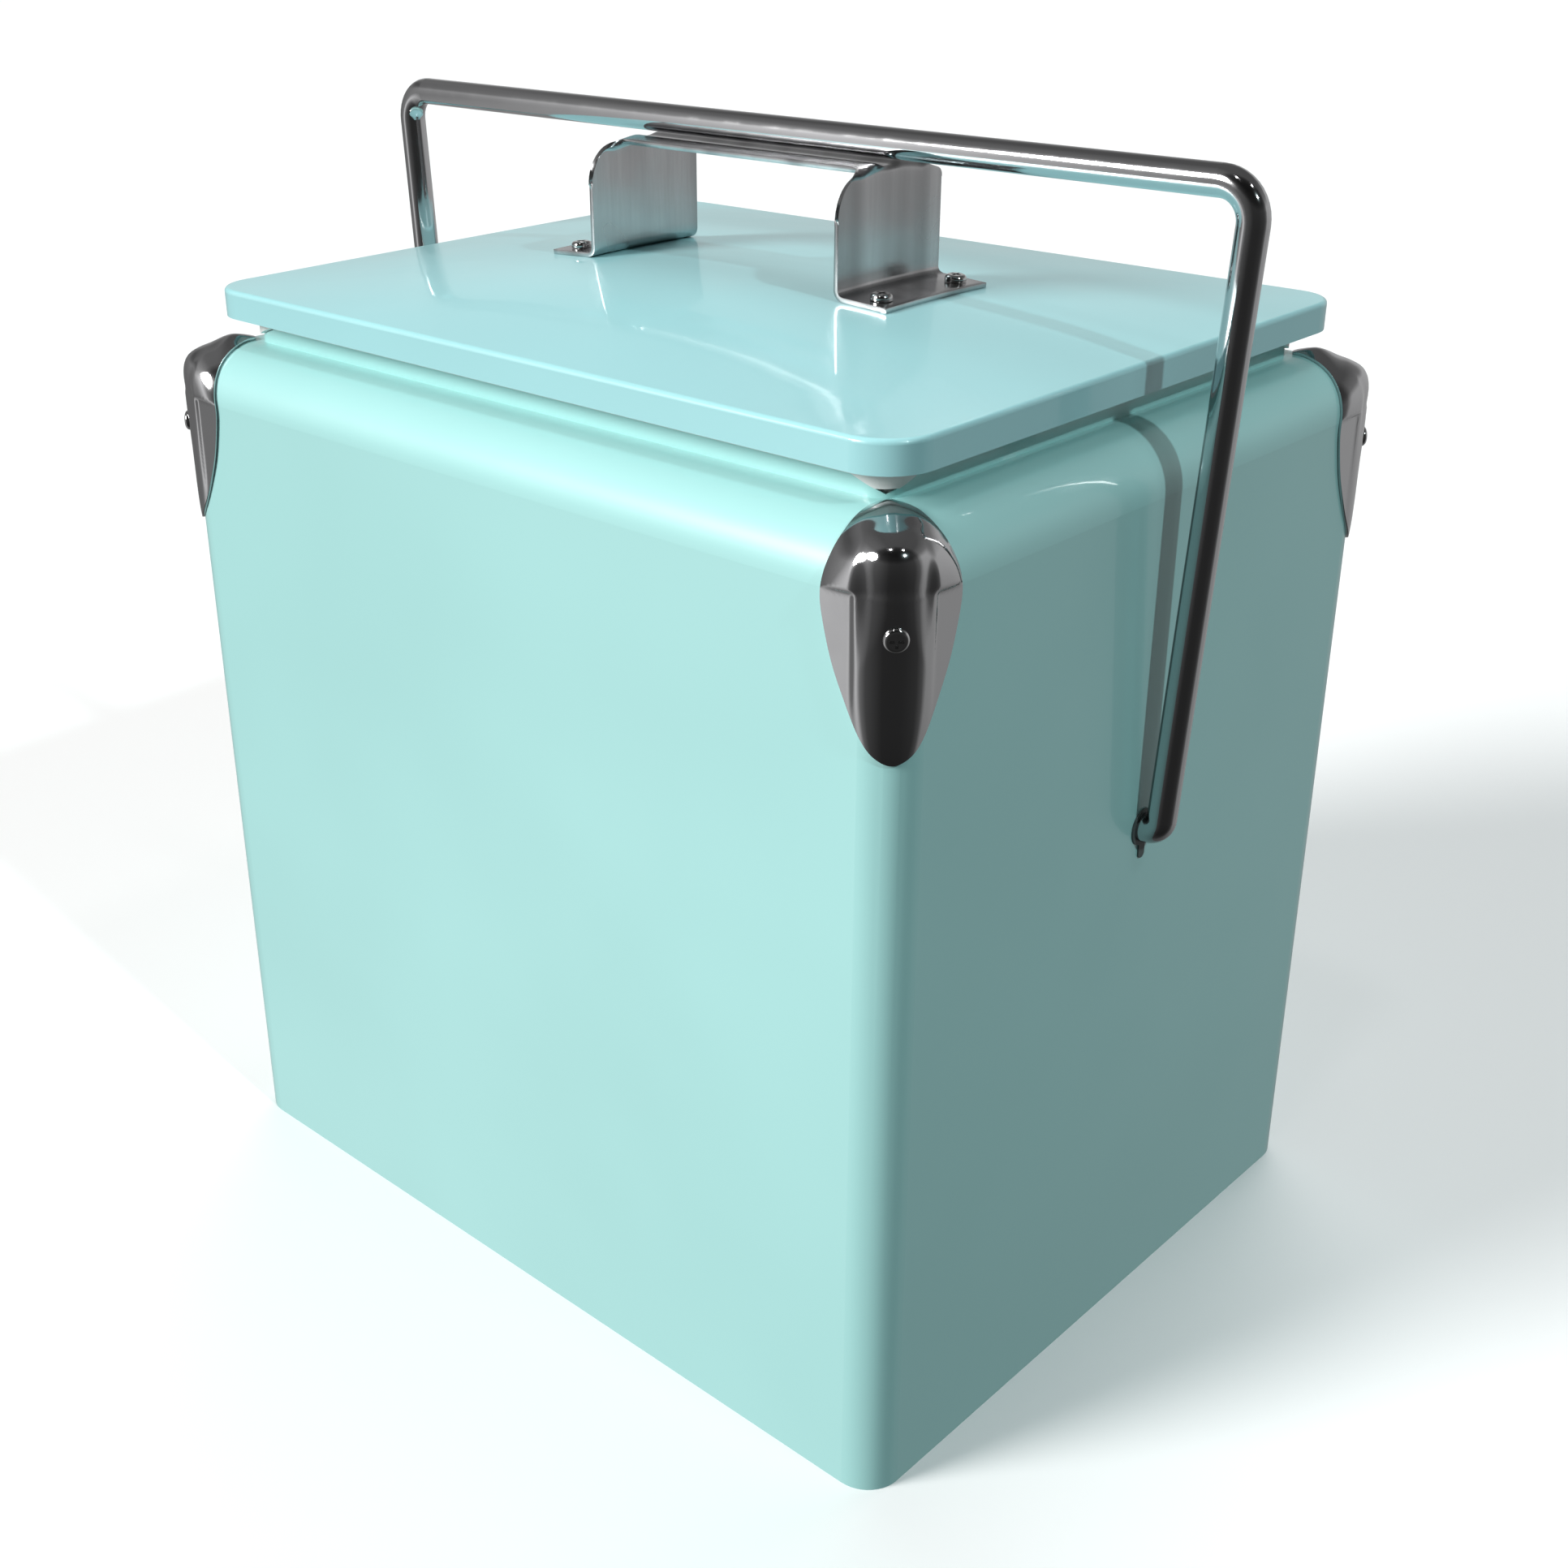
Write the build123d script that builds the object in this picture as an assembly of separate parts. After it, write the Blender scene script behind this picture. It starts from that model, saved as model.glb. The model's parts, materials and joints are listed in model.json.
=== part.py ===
from build123d import *

import os
from math import atan, degrees, sqrt

# Insulated steel drinks chest with a lift-off lid and a wire bail that holds the lid shut.
# X runs along the long side, -Y is the front and +Z is up; the origin is the middle of the base.
# Left is -X. The bail turns about X in the two short sides. All sizes are in millimetres.

# Body
BODY_W = 310.0            # outside, along X
BODY_D = 245.0            # outside, along Y
BODY_EDGE_R = 12.0        # upright corners
LEDGE_Z = 302.5           # flat top of the shoulder, round the neck
SHOULDER_R = 18.0
SHEET = 0.8               # painted steel sheet
NECK_INSET = 20.0         # from the body's side to the neck
NECK_R = 8.0
NECK_TOP = 308.0
NOTCH_W = 20.0            # open corner of the neck, at its top
NOTCH_TOP_Z = NECK_TOP + 0.5
NOTCH_TIP_Z = LEDGE_Z + 1
FIT = 0.05                # gap between parts that lie against each other
SEAT_GAP = 0.3            # gap between bodies that move apart

# Base pan
PAN_FLANGE = 14.0
PAN_SHEET = 0.8

# Inner tub
TUB_WALL = 2.5
TUB_R = 14.0
TUB_FLOOR_Z = 24.0        # outside of the tub's floor
TUB_FLOOR_R = 9.0
RIM_LIP = 1.2             # rim beyond the neck's outside
RIM_CORNER_Z = 305.3      # underside of the rim's corners, in the neck's notches
FOAM_INSET = 2.0          # foam inside the body's outer form

# Lid
LID_W = 290.0
LID_D = 225.0
LID_R = 14.8
LID_BOTTOM_Z = 311.6
LID_EDGE_Z = 320.8        # top of the lid's upright side
LID_CROWN = 9.0           # rise of the lid's middle above its edges
LID_TOP_EDGE_R = 1.4
CROWN_MARGIN = 1.04       # the crowned surface runs this much past the lid's edges
GASKET_H = 2.4
GASKET_W = 5.0
GASKET_INSET = 19.3       # from the body's side to the gasket
LID_LINER_T = 2.0
PLUG_GAP = 2.0            # round the lid's plug, inside the tub
PLUG_BOTTOM_Z = 300.0

# Bail
WIRE_R = 4.5
PIVOT_Z = 180.4
BAIL_PIVOT_X = 161.2      # leg's centre line at the pivot
BAIL_TOP_X = 172.5        # leg's centre line at the bar
BAIL_TOP_Z = 371.1
BAIL_FOOT_BEND_R = 5.0
BAIL_TOP_BEND_R = 10.0
STUB_END_X = 141.5
RUNNING = 0.05            # radial clearance of the bail in its bushes

# Bail bushes, their backing plates and the push nuts on the bail's ends
BUSH_R = 5.2
BUSH_FLANGE_R = 5.9
BUSH_FLANGE_T = 0.5
BUSH_LENGTH = 7.0
BUSH_TONGUE_W = 3.2
BUSH_TONGUE_DROP = 10.5   # from the pivot to the tongue's tip
PLATE_W = 30.0
PLATE_H = 40.0
PLATE_T = 1.5
PUSH_NUT_R = 8.0
PUSH_NUT_T = 1.2
POCKET_X = 140.0          # depth that the foam's pocket reaches
POCKET_CLEAR = 2.0

# Corner guards
GUARD_SHEET = 0.9
GUARD_TIP_Z = 241.3
GUARD_TOP_Z = 306.5
GUARD_WIDE_Z = 284.5
GUARD_HALF = 16.9         # half the guard's width, seen along the corner's diagonal
GUARD_SIDE = [            # one side's outline: share of the half width, and height
    (0.46, 247.0),
    (0.78, 262.0),
    (1.0, GUARD_WIDE_Z),
    (0.76, 298.5),
]
GUARD_CREASE_Z = 286.0    # below it the guard lies flat, above it the dome stands proud
GUARD_BULGE = 2.4
GUARD_REACH = 27.5        # how far the dome runs in from the virtual corner, along the diagonal
GUARD_SCREW_Z = 275.5

# Screws
SCREW_R = 1.9
SCREW_HOLE_R = 2.1
HEAD_R = 3.35
HEAD_H = 1.9
RECESS_W = 0.8
RECESS_L = 3.6
RECESS_DEPTH = 1.0
NUT_R = 4.0
NUT_H = 2.6
NUT_BORE_R = 1.95

# Lid bracket
BRACKET_T = 1.5
BRACKET_LEG_X = 51.8      # middle of the leg's thickness
BRACKET_HALF_W = 24.4
BRACKET_TOP_Z = 366.0
BRACKET_ARCH_R = 73.0
BRACKET_FRONT_R = 12.0
BRACKET_BACK_R = 2.5
BRACKET_PLATE_HALF = 12.0
GROOVE_R = 6.5
GROOVE_DEPTH = 1.2
FOOT_X = 64.0             # line of the foot's screws
FOOT_END_X = 71.0
FOOT_CORNER_R = 1.5
FOOT_SCREW_Y = 18.0
BACKING_W = 13.0
BACKING_HALF = 24.0
BACKING_T = 1.5

HALF_W = BODY_W / 2
HALF_D = BODY_D / 2
CORNERS = {
    "front_left": (-1, -1),
    "front_right": (1, -1),
    "back_left": (-1, 1),
    "back_right": (1, 1),
}
SIDES = {"left": -1, "right": 1}


def upright_block(width, depth, radius, bottom, top):
    """Block on the Z axis with rounded upright corners."""
    return extrude(Plane.XY.offset(bottom) * RectangleRounded(width, depth, radius), top - bottom)


def shouldered_bar(plane, width, length, grow, bottom):
    """Bar with two rounded top edges, its section drawn on plane and run along plane's normal."""
    height = LEDGE_Z + grow - bottom
    section = Pos(0, bottom + height / 2) * Rectangle(width + 2 * grow, height)
    section = fillet(section.vertices().group_by(Axis.Y)[-1], SHOULDER_R + grow)
    return extrude(plane * section, length, both=True)


def body_form(grow, bottom):
    """The body's outside up to the ledge, moved out by grow, from height bottom."""
    across = shouldered_bar(Plane.XZ, BODY_W, BODY_D, grow, bottom)
    along = shouldered_bar(Plane.YZ, BODY_D, BODY_W, grow, bottom)
    upright = upright_block(
        BODY_W + 2 * grow, BODY_D + 2 * grow, BODY_EDGE_R + grow, bottom, LEDGE_Z + grow
    )
    return across & along & upright


def neck_block(inset, radius, bottom, top):
    """Upright block that is inset from the body's sides."""
    return upright_block(BODY_W - 2 * inset, BODY_D - 2 * inset, radius, bottom, top)


def corner_plane(side_x, side_y, height=0.0):
    """Plane at an upright corner, facing out along its diagonal, with Z up in the plane."""
    return Plane(
        origin=(side_x * HALF_W, side_y * HALF_D, height),
        x_dir=(-side_y, side_x, 0),
        z_dir=(side_x, side_y, 0),
    )


def side_plane(side):
    """Plane at a bail pivot on the body's side, facing out along X, with Z up in the plane."""
    return Plane(origin=(side * HALF_W, 0, PIVOT_Z), x_dir=(0, side, 0), z_dir=(side, 0, 0))


def face_depth(grow):
    """Distance along a corner's diagonal from the virtual corner to the surface moved out by grow."""
    return grow - (sqrt(2) - 1) * BODY_EDGE_R


def rod(plane, radius, start, end):
    """Round rod along plane's normal, from start to end."""
    return extrude(plane.offset(start) * Circle(radius), end - start)


def pan_screw(plane, length):
    """Pan-head screw with a cross recess; its head stands on plane and its shank runs back."""
    head = rod(plane, HEAD_R, 0, HEAD_H)
    head = fillet(head.edges().sort_by(lambda edge: plane.to_local_coords(edge.center()).Z)[-1], 1.2)
    recess = Rectangle(RECESS_L, RECESS_W) + Rectangle(RECESS_W, RECESS_L)
    head -= extrude(plane.offset(HEAD_H - RECESS_DEPTH) * recess, RECESS_DEPTH + 1)
    return head + rod(plane, SCREW_R, -length, 0.5)


def nut(plane, start):
    """Hexagon nut on the screw's axis, from start back into the part."""
    blank = extrude(plane.offset(start) * RegularPolygon(NUT_R, 6), -NUT_H)
    return blank - rod(plane, NUT_BORE_R, start - NUT_H - 1, start + 1)


# Body shell and base


def neck_notch(side_x, side_y, shrink, bottom):
    """V-shaped block through a corner of the neck, moved in by shrink, from height bottom."""
    def half_width(z):
        return NOTCH_W / 2 * (z - NOTCH_TIP_Z) / (NOTCH_TOP_Z - NOTCH_TIP_Z) - shrink

    low, high = half_width(bottom), half_width(NOTCH_TOP_Z)
    outline = [(-low, bottom), (low, bottom)] if low > 0 else [(0, bottom)]
    outline += [(high, NOTCH_TOP_Z), (-high, NOTCH_TOP_Z)]
    return extrude(corner_plane(side_x, side_y) * Polygon(*outline, align=None), -2 * NECK_INSET)


def make_body_shell():
    """Painted steel wrap with rounded shoulders, a ledge and a neck that is open at its corners."""
    outside = body_form(0, 0) + neck_block(NECK_INSET, NECK_R, LEDGE_Z - 5, NECK_TOP)
    inside = body_form(-SHEET, -1) + neck_block(
        NECK_INSET + SHEET, NECK_R - SHEET, LEDGE_Z - 5, NECK_TOP + 1
    )
    shell = outside - inside
    for side_x, side_y in CORNERS.values():
        shell -= neck_notch(side_x, side_y, 0, NOTCH_TIP_Z)
        screw_axis = corner_plane(side_x, side_y, GUARD_SCREW_Z)
        shell -= rod(screw_axis, SCREW_HOLE_R, -15, 5)
    for side in SIDES.values():
        shell -= rod(side_plane(side), BUSH_R + FIT, -5, 5)
    return shell


def make_base_pan():
    """Bottom panel with a flange turned up inside the shell."""
    gap = SHEET + FIT
    blank = upright_block(BODY_W - 2 * gap, BODY_D - 2 * gap, BODY_EDGE_R - gap, 0, PAN_FLANGE)
    inset = gap + PAN_SHEET
    hollow = upright_block(
        BODY_W - 2 * inset, BODY_D - 2 * inset, BODY_EDGE_R - inset, PAN_SHEET, PAN_FLANGE + 1
    )
    return blank - hollow


# Inner tub and insulation


def tub_inset():
    """Distance from the body's side to the tub's outside."""
    return NECK_INSET + SHEET + 2 * FIT


def tub_form(thickness):
    """The tub's outside, moved in by thickness, open ended at the top."""
    inset = tub_inset() + thickness
    floor = TUB_FLOOR_Z + thickness
    form = neck_block(inset, TUB_R - thickness, floor, NECK_TOP + 10)
    return fillet(form.edges().group_by(Axis.Z)[0], TUB_FLOOR_R - thickness)


def make_inner_tub():
    """White plastic tub whose rim rests on the neck, with corners that fill the neck's notches."""
    rim_inset = NECK_INSET - RIM_LIP
    rim_bottom = NECK_TOP + FIT
    rim = neck_block(rim_inset, NECK_R + RIM_LIP, rim_bottom, rim_bottom + TUB_WALL)
    rim_corners = neck_block(rim_inset, NECK_R + RIM_LIP, RIM_CORNER_Z, rim_bottom + FIT)
    for side_x, side_y in CORNERS.values():
        rim += rim_corners & neck_notch(side_x, side_y, 8 * FIT, RIM_CORNER_Z)
    wall = tub_form(0) & neck_block(0, BODY_EDGE_R, 0, rim_bottom + TUB_WALL)
    return wall + rim - tub_form(TUB_WALL)


def make_body_foam():
    """Insulation between the shell and the tub, with pockets round the bail ends and the nuts."""
    foam = body_form(-FOAM_INSET, PAN_SHEET + 0.4)
    foam -= tub_form(-0.2)
    pocket_half_w = PLATE_W / 2 + POCKET_CLEAR
    pocket_half_h = PLATE_H / 2 + POCKET_CLEAR
    for side in SIDES.values():
        pocket = Rectangle(2 * pocket_half_w, 2 * pocket_half_h)
        foam -= extrude(side_plane(side).offset(POCKET_X - HALF_W) * pocket, HALF_W)
    for side_x, side_y in CORNERS.values():
        axis = corner_plane(side_x, side_y, GUARD_SCREW_Z)
        foam -= rod(axis, NUT_R + 1.5, face_depth(0) - 12, 5)
    return foam


# Corner guards


def guard_outline(shrink):
    """Teardrop outline of a guard, seen along the corner's diagonal, with the origin at z = 0."""
    half = GUARD_HALF - shrink
    middle = (GUARD_TIP_Z + GUARD_TOP_Z) / 2
    squeeze = 1 - 2 * shrink / (GUARD_TOP_Z - GUARD_TIP_Z)
    tip, *right, top = [
        (share * half, middle + squeeze * (z - middle))
        for share, z in [(0, GUARD_TIP_Z), *GUARD_SIDE, (0, GUARD_TOP_Z)]
    ]
    left = [(-x, z) for x, z in reversed(right)]
    return make_face(Spline(tip, *right, top, *left, periodic=True))


def guard_prism(side_x, side_y, shrink, low, high):
    """The guard's outline run through the corner, cut between two heights."""
    plane = corner_plane(side_x, side_y)
    reach = GUARD_REACH - shrink
    prism = extrude(plane.offset(-reach) * guard_outline(shrink), reach + 8)
    return prism & Pos(0, 0, (low + high) / 2) * Box(2 * BODY_W, 2 * BODY_D, high - low)


def make_corner_guard(side_x, side_y):
    """Pressed guard: flat cheeks and a rounded rib below, a hollow dome over the shoulder above."""
    cavity_floor = GUARD_CREASE_Z + GUARD_SHEET
    inner = body_form(FIT, 200)
    cheeks = (body_form(FIT + GUARD_SHEET, 200) - inner) & guard_prism(
        side_x, side_y, 0, 200, GUARD_CREASE_Z
    )
    dome = (body_form(GUARD_BULGE, 200) - inner) & guard_prism(
        side_x, side_y, 0, GUARD_CREASE_Z, 320
    )
    cavity = body_form(GUARD_BULGE - GUARD_SHEET, 200) & guard_prism(
        side_x, side_y, GUARD_SHEET, cavity_floor, 320
    )
    guard = cheeks + (dome - cavity)
    return guard - rod(corner_plane(side_x, side_y, GUARD_SCREW_Z), SCREW_HOLE_R, -15, 5)


def make_guard_screws():
    """One screw through each guard, on the corner's diagonal."""
    seat = face_depth(FIT + GUARD_SHEET) + 0.02
    return [
        pan_screw(corner_plane(side_x, side_y, GUARD_SCREW_Z).offset(seat), 10)
        for side_x, side_y in CORNERS.values()
    ]


def make_guard_nuts():
    """Nuts behind the shell's corners."""
    start = face_depth(-SHEET) - 1.0
    return [
        nut(corner_plane(side_x, side_y, GUARD_SCREW_Z), start)
        for side_x, side_y in CORNERS.values()
    ]


# Bail and its bearings


def make_pivot_bush(side):
    """Plastic bush through the wall, with a thin flange and a tongue that stops it turning."""
    plane = side_plane(side)
    flange = Circle(BUSH_FLANGE_R)
    tongue_length = BUSH_TONGUE_DROP - BUSH_TONGUE_W / 2
    flange += Pos(0, -tongue_length / 2) * Rectangle(BUSH_TONGUE_W, tongue_length)
    flange += Pos(0, -tongue_length) * Circle(BUSH_TONGUE_W / 2)
    bush = extrude(plane.offset(FIT) * flange, BUSH_FLANGE_T) + rod(plane, BUSH_R, -BUSH_LENGTH, 0.2)
    return bush - rod(plane, WIRE_R + RUNNING, -BUSH_LENGTH - 1, 3)


def make_pivot_plate(side):
    """Steel plate behind the wall that spreads the bail's load."""
    plane = side_plane(side)
    face = RectangleRounded(PLATE_W, PLATE_H, 4)
    plate = extrude(plane.offset(-SHEET - FIT) * face, -PLATE_T)
    return plate - rod(plane, BUSH_R + FIT, -8, 1)


def make_bail_wire():
    """Round wire bent into two legs, a top bar and an inward stub at each end."""
    path = FilletPolyline(
        (-STUB_END_X, 0, PIVOT_Z),
        (-BAIL_PIVOT_X, 0, PIVOT_Z),
        (-BAIL_TOP_X, 0, BAIL_TOP_Z),
        (BAIL_TOP_X, 0, BAIL_TOP_Z),
        (BAIL_PIVOT_X, 0, PIVOT_Z),
        (STUB_END_X, 0, PIVOT_Z),
        radius=[BAIL_FOOT_BEND_R, BAIL_TOP_BEND_R, BAIL_TOP_BEND_R, BAIL_FOOT_BEND_R],
    )
    section = Plane(origin=path @ 0, z_dir=path % 0) * Circle(WIRE_R)
    return sweep(section, path)


def make_push_nut(side):
    """Sprung disc pushed onto the bail's end, behind the bush."""
    plane = side_plane(side)
    outer = -(HALF_W - STUB_END_X) + 3.0
    disc = rod(plane, PUSH_NUT_R, outer - PUSH_NUT_T, outer)
    return disc - rod(plane, WIRE_R + 0.01, outer - 3, outer + 1)


# Lid


def crown_height(x, y):
    """Height of the lid's crowned top; its four edges are level."""
    across = 1 - (2 * x / LID_W) ** 2
    along = 1 - (2 * y / LID_D) ** 2
    return LID_EDGE_Z + LID_CROWN * across * along


def lid_form(inset, bottom):
    """Block under the crowned top, moved in by inset, from height bottom."""
    reach = CROWN_MARGIN
    end = 1 - reach ** 2
    middle = 1 + reach ** 2
    weights = (end, middle, end)
    steps = (-reach, 0, reach)
    net = [
        [
            (
                step_x * LID_W / 2,
                step_y * LID_D / 2,
                LID_EDGE_Z - inset + LID_CROWN * weight_x * weight_y,
            )
            for step_y, weight_y in zip(steps, weights)
        ]
        for step_x, weight_x in zip(steps, weights)
    ]
    below_crown = extrude(Face.make_bezier_surface(net), 60, dir=(0, 0, -1))
    block = upright_block(
        LID_W - 2 * inset, LID_D - 2 * inset, LID_R - inset, bottom, LID_EDGE_Z + 2 * LID_CROWN
    )
    return block & below_crown


def foot_frame(side, y=0.0):
    """Frame on the lid's top under a bracket foot, tilted with the crown, Z out of the lid."""
    slope = 2 * LID_CROWN * FOOT_X / (LID_W / 2) ** 2
    height = crown_height(FOOT_X, 0) + FIT
    return Location((side * FOOT_X, 0, height), (0, side * degrees(atan(slope)), 0)) * Pos(0, y, 0)


def screw_planes():
    """Planes on the lid's top at the four bracket screws."""
    return [Plane(foot_frame(side, y)) for side in SIDES.values() for y in (-FOOT_SCREW_Y, FOOT_SCREW_Y)]


def make_lid_shell():
    """Painted steel lid with a crowned top and a short upright side."""
    outside = lid_form(0, LID_BOTTOM_Z)
    rim = [edge for edge in outside.edges() if edge.center().Z > LID_EDGE_Z - 1]
    outside = fillet(rim, LID_TOP_EDGE_R)
    inside = lid_form(SHEET, LID_BOTTOM_Z - 5)
    inner_rim = [edge for edge in inside.edges() if edge.center().Z > LID_EDGE_Z - 3]
    inside = fillet(inner_rim, LID_TOP_EDGE_R - SHEET)
    shell = outside - inside
    for plane in screw_planes():
        shell -= rod(plane, SCREW_HOLE_R, -10, 5)
    return shell


def lid_liner_bottom():
    """Underside of the lid liner's flange."""
    return NECK_TOP + FIT + TUB_WALL + SEAT_GAP + GASKET_H + FIT


def plug_block(inset, bottom, top):
    """Block of the lid's plug, moved in by inset."""
    plug_inset = tub_inset() + TUB_WALL + PLUG_GAP + inset
    return neck_block(plug_inset, TUB_R - TUB_WALL - inset, bottom, top)


def make_lid_liner():
    """White plastic liner under the lid, with a plug that fits inside the tub."""
    bottom = lid_liner_bottom()
    top = bottom + LID_LINER_T
    inset = SHEET + 2 * FIT
    flange = upright_block(LID_W - 2 * inset, LID_D - 2 * inset, LID_R - inset, bottom, top)
    plug = plug_block(0, PLUG_BOTTOM_Z, top)
    return flange + plug - plug_block(LID_LINER_T, PLUG_BOTTOM_Z + LID_LINER_T, top + 1)


def make_lid_foam():
    """Insulation between the lid and its liner, with pockets for the bracket's nuts."""
    bottom = lid_liner_bottom() + LID_LINER_T + FIT
    foam = lid_form(SHEET + 0.4, bottom)
    foam += plug_block(LID_LINER_T + 0.2, PLUG_BOTTOM_Z + LID_LINER_T + FIT, bottom + 1)
    pocket_half = BACKING_HALF + 3
    pocket_w = BACKING_W + 6
    for side in SIDES.values():
        pocket = Pos(side * FOOT_X, 0, LID_EDGE_Z + 10) * Box(pocket_w, 2 * pocket_half, 22)
        foam -= pocket
    return foam


def make_lid_gasket():
    """Soft seal under the lid liner's flange, above the tub's rim."""
    top = lid_liner_bottom() - FIT
    ring = neck_block(GASKET_INSET, TUB_R, top - GASKET_H, top)
    return ring - neck_block(GASKET_INSET + GASKET_W, TUB_R - GASKET_W, top - 10, top + 10)


# Lid bracket


def bracket_section():
    """Outline of a bracket leg across the lid: an arched top with a rounder front and a groove."""
    bottom = crown_height(BRACKET_LEG_X, 0) + BRACKET_T / 2
    height = BRACKET_TOP_Z + 5 - bottom
    outline = Pos(0, bottom + height / 2) * Rectangle(2 * BRACKET_HALF_W, height)
    outline &= Pos(0, BRACKET_TOP_Z - BRACKET_ARCH_R) * Circle(BRACKET_ARCH_R)
    for end, radius in ((0, BRACKET_FRONT_R), (-1, BRACKET_BACK_R)):
        corner = outline.vertices().group_by(Axis.X)[end].sort_by(Axis.Y)[-1]
        outline = fillet(corner, radius)
    return outline - Pos(0, BRACKET_TOP_Z - GROOVE_DEPTH + GROOVE_R) * Circle(GROOVE_R)


def make_lid_bracket():
    """Bent steel strip: two feet, two legs and an arched top plate under the bail's bar."""
    section = bracket_section()
    inner = offset(section, -BRACKET_T)
    plate = (section - inner) & Pos(0, BRACKET_TOP_Z) * Rectangle(2 * BRACKET_PLATE_HALF, 30)
    bracket = extrude(Plane.YZ * plate, BRACKET_LEG_X, both=True)
    foot_length = FOOT_END_X - BRACKET_LEG_X + BRACKET_T / 2
    foot_middle = FOOT_END_X - foot_length / 2
    for side in SIDES.values():
        leg_plane = Plane.YZ.offset(side * BRACKET_LEG_X - BRACKET_T / 2)
        bracket += extrude(leg_plane * section, BRACKET_T)
        foot = extrude(RectangleRounded(foot_length, 2 * BRACKET_HALF_W, FOOT_CORNER_R), BRACKET_T)
        bracket += foot_frame(side) * Pos(side * (foot_middle - FOOT_X), 0, 0) * foot
    for plane in screw_planes():
        bracket -= rod(plane, SCREW_HOLE_R, -5, 5)
    return bracket


def make_bracket_screws():
    """Two screws through each foot."""
    return [pan_screw(plane.offset(BRACKET_T + FIT), 8.5) for plane in screw_planes()]


def backing_depth():
    """Depth of a backing strip's top below the foot frame, clear of the curved sheet."""
    sag = LID_CROWN * (2 * BACKING_HALF / LID_D) ** 2
    return SHEET + sag + 4 * FIT


def make_backing_strip(side):
    """Steel strip under the lid's sheet that takes the bracket's screws."""
    strip = extrude(RectangleRounded(BACKING_W, 2 * BACKING_HALF, 2), -BACKING_T)
    strip = foot_frame(side) * Pos(0, 0, -backing_depth()) * strip
    for y in (-FOOT_SCREW_Y, FOOT_SCREW_Y):
        strip -= rod(Plane(foot_frame(side, y)), SCREW_HOLE_R, -8, 2)
    return strip


def make_bracket_nuts():
    """Nuts on the bracket's screws, under the backing strips."""
    return [nut(plane, -backing_depth() - BACKING_T - FIT) for plane in screw_planes()]


def build_nodes():
    """Every separate piece, by node name."""
    nodes = {
        "body_shell": make_body_shell(),
        "base_pan": make_base_pan(),
        "inner_tub": make_inner_tub(),
        "body_foam": make_body_foam(),
        "guard_screws": make_guard_screws(),
        "guard_nuts": make_guard_nuts(),
        "bail_wire": make_bail_wire(),
        "lid_shell": make_lid_shell(),
        "lid_liner": make_lid_liner(),
        "lid_foam": make_lid_foam(),
        "lid_gasket": make_lid_gasket(),
        "lid_bracket": make_lid_bracket(),
        "bracket_screws": make_bracket_screws(),
        "bracket_nuts": make_bracket_nuts(),
    }
    for corner, (side_x, side_y) in CORNERS.items():
        nodes[f"corner_guard_{corner}"] = make_corner_guard(side_x, side_y)
    for name, side in SIDES.items():
        nodes[f"pivot_bush_{name}"] = make_pivot_bush(side)
        nodes[f"pivot_plate_{name}"] = make_pivot_plate(side)
        nodes[f"push_nut_{name}"] = make_push_nut(side)
        nodes[f"backing_strip_{name}"] = make_backing_strip(side)
    return nodes


os.makedirs("parts", exist_ok=True)
for node, shape in build_nodes().items():
    if isinstance(shape, list):
        shape = Compound(children=shape)
    export_step(shape, f"parts/{node}.step")
    print(f"{node}: {shape.volume / 1000:.2f} cm3")
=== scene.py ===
import json
from math import cos, pi, radians, sin, sqrt

import bpy
import bmesh
import numpy as np
from mathutils import Matrix, Vector


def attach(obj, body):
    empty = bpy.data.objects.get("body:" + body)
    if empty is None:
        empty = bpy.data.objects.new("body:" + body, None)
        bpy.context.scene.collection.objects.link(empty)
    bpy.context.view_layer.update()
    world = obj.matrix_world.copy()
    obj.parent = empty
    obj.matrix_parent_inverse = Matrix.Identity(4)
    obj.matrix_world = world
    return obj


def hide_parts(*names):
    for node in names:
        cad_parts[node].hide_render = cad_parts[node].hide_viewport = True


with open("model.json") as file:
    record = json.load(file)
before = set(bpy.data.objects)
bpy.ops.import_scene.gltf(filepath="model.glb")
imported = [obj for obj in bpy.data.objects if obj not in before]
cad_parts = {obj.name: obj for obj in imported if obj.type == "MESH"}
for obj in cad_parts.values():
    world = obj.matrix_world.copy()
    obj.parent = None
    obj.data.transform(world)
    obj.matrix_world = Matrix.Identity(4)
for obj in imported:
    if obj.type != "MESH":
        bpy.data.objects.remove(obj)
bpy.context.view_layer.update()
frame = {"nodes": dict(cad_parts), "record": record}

# Insulated steel drinks chest, in the CAD frame: +Z up, -Y the front. Blender's lengths are in
# metres. The points and constants of the meshes are in millimetres.

CHEST, LID = "chest", "lid"
CORNERS = {
    "front_left": (-1, -1),
    "front_right": (1, -1),
    "back_left": (-1, 1),
    "back_right": (1, 1),
}


# Camera

CAMERA_ANGLES = (43.67, 24.37, -0.70)        # azimuth, elevation and roll, in degrees
CAMERA_PLACE = (0.4293, -0.4768, 0.4539)
CAMERA_LENS, CAMERA_SENSOR = 45.58, 36.0
CAMERA_SHIFT = (0.0487, -0.0303)
CAMERA_CLIP = (0.02, 50)


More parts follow.
